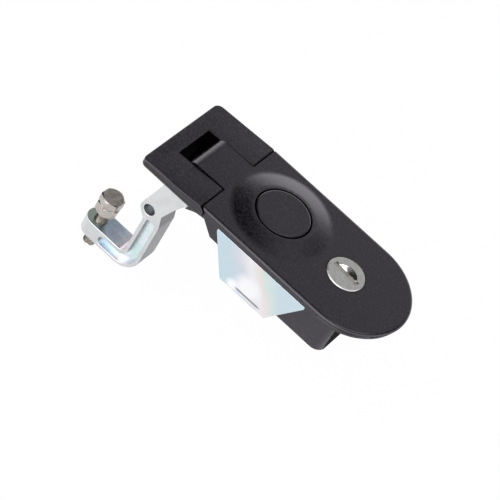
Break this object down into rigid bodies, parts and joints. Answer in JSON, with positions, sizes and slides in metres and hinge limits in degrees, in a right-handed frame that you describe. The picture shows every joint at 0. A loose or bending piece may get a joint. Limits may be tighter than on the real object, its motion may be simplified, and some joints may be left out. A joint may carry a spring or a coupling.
{
  "type": "compression latch",
  "caption": "Flush compression latch with round-ended lever, push button and key lock; the lever swings a hook arm with a grip bolt to clamp a door panel against its frame.",
  "frame": {"origin": "centre of the panel cut-out, on the panel's outer face where the gasket sits", "axes": "+X along the lever towards its round end, +Z out of the panel, +Y across"},
  "size_m": [0.1423, 0.055, 0.0953],
  "materials": {
    "black_moulding": "fine moulded grain",
    "black_rubber": "matte",
    "plated_casting": "zinc-plated casting, satin",
    "bright_zinc": "bright zinc plate with a faint blue tint",
    "nickel_steel": "nickel-plated, satin",
    "satin_nickel": "satin nickel",
    "polished_nickel": "polished",
    "pin_steel": "plain steel"
  },
  "bodies": {
    "housing": {"housing": "black_moulding", "gasket": "black_rubber", "pivot_pin_left": "pin_steel", "pivot_pin_right": "pin_steel", "mounting_bracket": "bright_zinc", "bracket_screws": "bright_zinc", "bracket_washers": "bright_zinc"},
    "lever": {"lever": "black_moulding", "arm_pin": "pin_steel", "button_spring": "pin_steel", "catch_pin": "pin_steel", "catch_spring": "pin_steel", "lock_barrel": "satin_nickel", "lock_clip": "pin_steel"},
    "hook_arm": {"hook_arm": "plated_casting"},
    "grip_bolt": {"grip_bolt": "nickel_steel", "lock_nut": "nickel_steel"},
    "push_button": {"push_button": "black_moulding", "button_clip": "pin_steel"},
    "catch": {"catch": "plated_casting"},
    "lock_plug": {"lock_plug": "satin_nickel", "keyway_plate": "polished_nickel", "key_shutter": "nickel_steel", "lock_cam": "bright_zinc", "cam_screw": "bright_zinc"}
  },
  "joints": [
    {"name": "lever_hinge", "type": "hinge", "parent": "housing", "child": "lever", "pos_m": [-0.0315, 0, -0.0081], "axis": [0, -1, 0], "range_deg": [0, 60]},
    {"name": "arm_hinge", "type": "hinge", "parent": "lever", "child": "hook_arm", "pos_m": [-0.0305, 0, -0.0012], "axis": [0, -1, 0], "range_deg": [-16, 1]},
    {"name": "bolt_adjust", "type": "slide", "parent": "hook_arm", "child": "grip_bolt", "axis": [0, 0, 1], "range_m": [-0.0045, 0.008]},
    {"name": "button_press", "type": "slide", "parent": "lever", "child": "push_button", "axis": [0, 0, -1], "range_m": [0, 0.0025], "stiffness_N_per_m": 800, "springref_m": -0.002, "deforming": ["button_spring"]},
    {"name": "catch_swing", "type": "hinge", "parent": "lever", "child": "catch", "pos_m": [0.0135, 0, -0.0056], "axis": [0, -1, 0], "range_deg": [-0.5, 12], "deforming": ["catch_spring"]},
    {"name": "key_turn", "type": "hinge", "parent": "lever", "child": "lock_plug", "pos_m": [0.0365, 0, 0.0059], "axis": [0, 0, 1], "range_deg": [0, 90]}
  ],
  "couplings": [
    {"joint": "arm_hinge", "follows": "lever_hinge", "ratio": -0.25},
    {"joint": "catch_swing", "follows": "button_press", "rad_per_m": 74}
  ]
}
